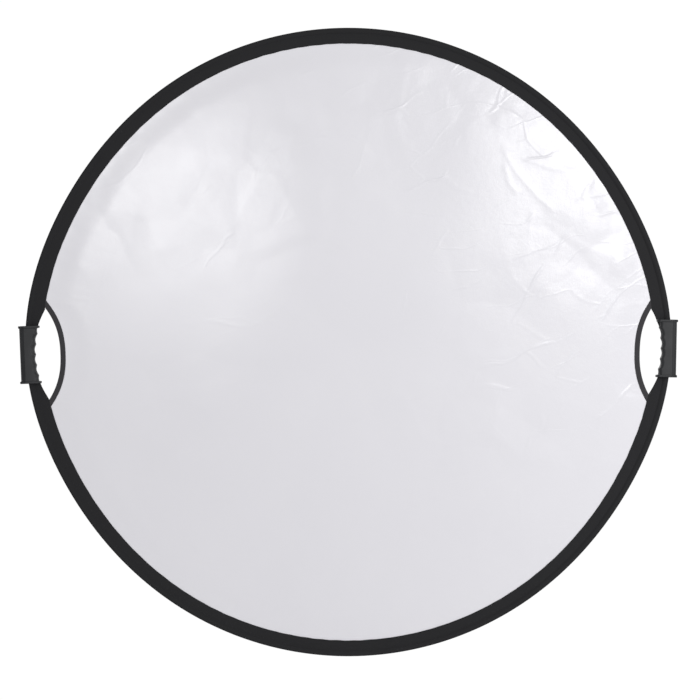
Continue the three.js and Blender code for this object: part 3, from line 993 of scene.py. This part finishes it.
GRIP_LENGTH = 98.5
GRIP_INNER = 532.7
GRIP_PLATEAU = 551.0
GRIP_SHOULDER = 556.0
GRIP_OUTER = 559.2
GRIP_DEPTH = 12.0
GRIP_CONCAVE = 0.003
GROOVE_PITCH = 17.6
GROOVE_DEPTH = 2.4
FLANGE = 1.8
FLANGE_HEIGHT = 4.6
PARTING = 0.15
CHANNEL_CLEARANCE = 0.6
POCKET_HALF = 3.8
SCREW_OUT = 554.6
SCREW_UPS = (-36.0, 0, 36.0)
SCREW_RECESS = [(2.7, 4.2), (2.7, 20)]    # radius, and place along Y
FLANGE_PROFILE = [        # down from the grip's end, and the flange's share of its full height
    (0.0, 0.45), (0.25, 0.78), (0.7, 1.0), (3.3, 1.0), (3.8, 0.85), (4.1, 0.45), (4.3, 0.1), (4.6, 0.0),
]


def rounded(points, radius, steps=3):
    """The line of points with its inner corners rounded, each by the same number of points."""
    made = [points[0]]
    for before, corner, after in zip(points, points[1:], points[2:]):
        corner = np.array(corner)
        back, on = np.array(before) - corner, np.array(after) - corner
        reach = min(radius, 0.45 * np.linalg.norm(back), 0.45 * np.linalg.norm(on))
        start = corner + back / np.linalg.norm(back) * reach
        end = corner + on / np.linalg.norm(on) * reach
        for t in np.linspace(0, 1, steps + 1):
            made.append((1 - t) ** 2 * start + 2 * t * (1 - t) * corner + t * t * end)
    made.append(points[-1])
    return np.array([tuple(p) for p in made])


def finger_edge(up, grooved):
    reach = min(abs(up), GRIP_LENGTH / 2 - FLANGE_HEIGHT)
    wave = math.sqrt(math.sin(math.pi * up / GROOVE_PITCH) ** 2 + 0.006) - 0.077
    return GRIP_INNER - GRIP_CONCAVE * reach * reach + wave * GROOVE_DEPTH * grooved


def grip_section(up, proud):
    grooved = max(0.0, 1 - proud / (0.5 * FLANGE))
    inner = finger_edge(up, grooved) - proud
    face = GRIP_DEPTH + proud * 0.6
    return rounded([
        (inner, PARTING), (inner, face * 0.42), (inner + 1.5, face * 0.80), (inner + 5.2, face),
        (GRIP_PLATEAU, face), (GRIP_PLATEAU + 1, face - 1), (GRIP_SHOULDER + proud * 0.5, face * 0.72),
        (GRIP_OUTER + proud, face * 0.36), (GRIP_OUTER + proud, PARTING),
    ], 1.0)


def grip_stations():
    end = GRIP_LENGTH / 2
    ends = [(end - down, FLANGE * share) for down, share in FLANGE_PROFILE]
    body = np.arange(-(end - FLANGE_HEIGHT - 0.4), end - FLANGE_HEIGHT - 0.3, 0.8)
    return [(-up, proud) for up, proud in ends] + [(up, 0.0) for up in body] + ends[::-1]


def loft(sections):
    """Faces of a closed skin through matching closed sections, capped at both ends."""
    rows, per = len(sections), len(sections[0])
    faces = []
    for row in range(rows - 1):
        for k in range(per):
            a, b = row * per + k, row * per + (k + 1) % per
            faces.append((a, b, b + per, a + per))
    faces.append(tuple(range(per - 1, -1, -1)))
    faces.append(tuple((rows - 1) * per + k for k in range(per)))
    return faces


def add_loft(name, sections, material, uv=None):
    """A closed skin through the sections, its faces turned outwards."""
    obj = add_mesh(name, np.concatenate(sections), loft(sections), material, uv)
    made = bmesh.new()
    made.from_mesh(obj.data)
    bmesh.ops.recalc_face_normals(made, faces=made.faces)
    made.to_mesh(obj.data)
    made.free()
    return obj


def cut(obj, tools):
    """obj with the tools taken out of it. The tools are deleted."""
    for tool in tools:
        made = obj.modifiers.new("cut", "BOOLEAN")
        made.operation = "DIFFERENCE"
        made.solver = "EXACT"
        made.object = tool
    bpy.context.view_layer.update()
    result = bpy.data.meshes.new_from_object(obj.evaluated_get(bpy.context.evaluated_depsgraph_get()))
    obj.modifiers.clear()
    obj.data = result
    for tool in tools:
        bpy.data.objects.remove(tool)
    finish_edges(obj)


def finish_edges(obj):
    obj.data.polygons.foreach_set("use_smooth", [True] * len(obj.data.polygons))
    obj.data.set_sharp_from_angle(angle=math.radians(SHARP_EDGE))


def channel_tool(side):
    """The space in a grip for the strand of rim that passes through it."""
    middle = 0.0 if side["sign"] > 0 else math.pi
    chord, half = hole_frame(side)
    angles = middle + np.radians(np.linspace(-13, 13, 40)) * side["sign"]
    radius = rim_radius(angles) + CHANNEL_CLEARANCE
    outer = np.stack([radius * np.cos(angles), radius * np.sin(angles)], axis=1)
    depth = rim_radius(0.0) - STRAND_WIDTH - CHANNEL_CLEARANCE - chord
    shares = np.linspace(1, -1, 40)
    bow = chord + depth * (1 - shares**2)
    inner = np.stack(at_side(side, side["hole_drop"], bow, shares * half), axis=1)
    outline = np.concatenate([outer, inner])
    reach = POCKET_HALF + CHANNEL_CLEARANCE
    x, z = outline.T
    sections = [np.stack([x, np.full_like(x, y), z], axis=1) for y in (-reach, reach)]
    return add_loft("tool", sections, PLASTIC)


def turned(name, x, z, profile, sides, material):
    """A round piece along Y from a profile of radii and places along Y."""
    turn = np.linspace(0, 2 * math.pi, sides, endpoint=False)
    return add_loft(name, [
        np.stack([x + radius * np.cos(turn), np.full(sides, y), z + radius * np.sin(turn)], axis=1)
        for radius, y in profile
    ], material)


def add_grips():
    for name, side in SIDES.items():
        for part, facing in (("front", -1), ("back", 1)):
            sections = []
            for up, proud in grip_stations():
                out, depth = grip_section(up, proud).T
                x, z = at_side(side, side["grip_drop"], out, up)
                sections.append(np.stack([x, facing * depth, z], axis=1))
            obj = add_loft(f"grip_{name}_{part}", sections, PLASTIC)
            tools = [channel_tool(side)]
            if part == "back":
                for up in SCREW_UPS:
                    x, z = at_side(side, side["grip_drop"], SCREW_OUT, up)
                    tools.append(turned("tool", x, z, SCREW_RECESS, 32, PLASTIC))
            cut(obj, tools)
            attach(obj, f"{name}_tip")
            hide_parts(f"grip_{name}_{part}")
        for k, up in enumerate(SCREW_UPS, 1):
            add_screw(f"grip_screw_{name}_{k}", side, up, f"{name}_tip")


SCREW_PROFILE = [         # radius, and place along Y from the shank's end to the middle of the head
    (0.02, -8.2), (0.9, -8.2), (1.25, -7.6), (1.25, 4.5), (2.15, 4.5), (2.4, 4.75), (2.4, 5.5),
    (2.15, 5.95), (1.5, 6.2), (0.02, 6.3),
]
SLOT_CORNERS = [(1.45, 0.3), (-1.45, 0.3), (-1.45, -0.3), (1.45, -0.3)]
SLOT_TAPER = [(5.1, 0.55), (7.0, 1.05)]   # place along Y, and the slot's share of its length there


def add_screw(name, side, up, body):
    x, z = at_side(side, side["grip_drop"], SCREW_OUT, up)
    obj = turned(name, x, z, SCREW_PROFILE, 28, SCREW_STEEL)
    tools = []
    for spin in (0.4 + up, 0.4 + up + math.pi / 2):
        c, s = math.cos(spin), math.sin(spin)
        block = [
            [(x + a * share * c - b * s, y, z + a * share * s + b * c) for a, b in SLOT_CORNERS]
            for y, share in SLOT_TAPER
        ]
        tools.append(add_loft("tool", block, SCREW_STEEL))
    cut(obj, tools)
    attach(obj, body)
    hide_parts(name)


# ---- The CAD parts that stay ----

def keep_cad_parts():
    for name, material in (
        ("hoop_ferrule", STEEL), ("hoop_rivet_left", SCREW_STEEL), ("hoop_rivet_right", SCREW_STEEL),
    ):
        obj = frame["nodes"][name]
        for slot in obj.material_slots:
            slot.material = material
        obj.modifiers.new("bending", "LATTICE").object = CAGE


add_cloths()
add_sleeve()
add_hoop()
add_rim_stitches()
add_bindings()
add_grips()
keep_cad_parts()

# ---- Floor, light and camera ----

FLOOR_Z = -0.75
FLOOR_RADIUS = 450
CAMERA_DISTANCE = 5.0
VIEW_WIDTH = 1.193        # what the camera takes in at the disc
SENSOR = 36


def add_floor():
    turn = np.linspace(0, 2 * math.pi, 96, endpoint=False)
    x, y = FLOOR_RADIUS * np.cos(turn), FLOOR_RADIUS * np.sin(turn)
    points = np.stack([x, y, np.full(96, FLOOR_Z / MM)], axis=1)
    made = Material("pale_floor", Roughness=0.9)
    made.shader.inputs["Base Color"].default_value = (0.85, 0.85, 0.85, 1)
    floor = add_mesh("floor", points, [tuple(range(96))], made.material)


def add_light(name, place, aim, size, power, only_gloss=False):
    data = bpy.data.lights.new(name, "AREA")
    data.shape = "RECTANGLE"
    data.size, data.size_y = size
    data.energy = power
    lamp = bpy.data.objects.new(name, data)
    bpy.context.scene.collection.objects.link(lamp)
    lamp.location = place
    lamp.rotation_euler = (Vector(aim) - Vector(place)).to_track_quat("-Z", "Y").to_euler()
    lamp.visible_camera = False
    lamp.visible_diffuse = not only_gloss


def add_world(seen, front, side):
    """White to the camera; the light from it is brightest square on to the disc's two sides."""
    world = bpy.data.worlds.new("studio")
    world.use_nodes = True
    made = Nodes(world.node_tree)
    ray = made.node("ShaderNodeTexCoord").outputs["Generated"]
    square_on = made.math("ABSOLUTE", made.node("ShaderNodeSeparateXYZ", {0: ray}).outputs["Y"])
    lit, plain = (
        made.node("ShaderNodeBackground", {"Color": (1, 1, 1, 1), "Strength": strength}).outputs[0]
        for strength in (made.spread(square_on, side, front), seen)
    )
    to_camera = made.node("ShaderNodeLightPath").outputs["Is Camera Ray"]
    mixed = made.node("ShaderNodeMixShader", {0: to_camera, 1: lit, 2: plain}).outputs[0]
    made.tree.links.new(mixed, made.tree.nodes["World Output"].inputs["Surface"])
    bpy.context.scene.world = world


def add_camera():
    data = bpy.data.cameras.new("camera")
    camera = bpy.data.objects.new("camera", data)
    bpy.context.scene.collection.objects.link(camera)
    camera.location = (0.003, -CAMERA_DISTANCE, -0.0136)
    camera.rotation_euler = (math.pi / 2, 0, 0)
    data.sensor_width = SENSOR
    data.lens = SENSOR * CAMERA_DISTANCE / VIEW_WIDTH
    bpy.context.scene.camera = camera


add_floor()
add_world(1.02, 0.97, 0.12)
add_light("side", (1.5, -1.1, 0.15), (0.1, 0, 0.0), (0.4, 0.4), 8.5)
add_light("right_gloss", (0.66, -2.4, 0.48), (0.2, 0, 0.1), (0.25, 0.4), 9, only_gloss=True)
add_light("left_gloss", (-0.44, -2.2, 0.36), (-0.1, 0, 0.1), (0.12, 0.3), 4.5, only_gloss=True)
add_light("back", (-0.8, 2.6, 1.6), (0, 0, 0), (1.2, 1.2), 30)
add_camera()
bpy.context.scene.view_settings.view_transform = "Standard"
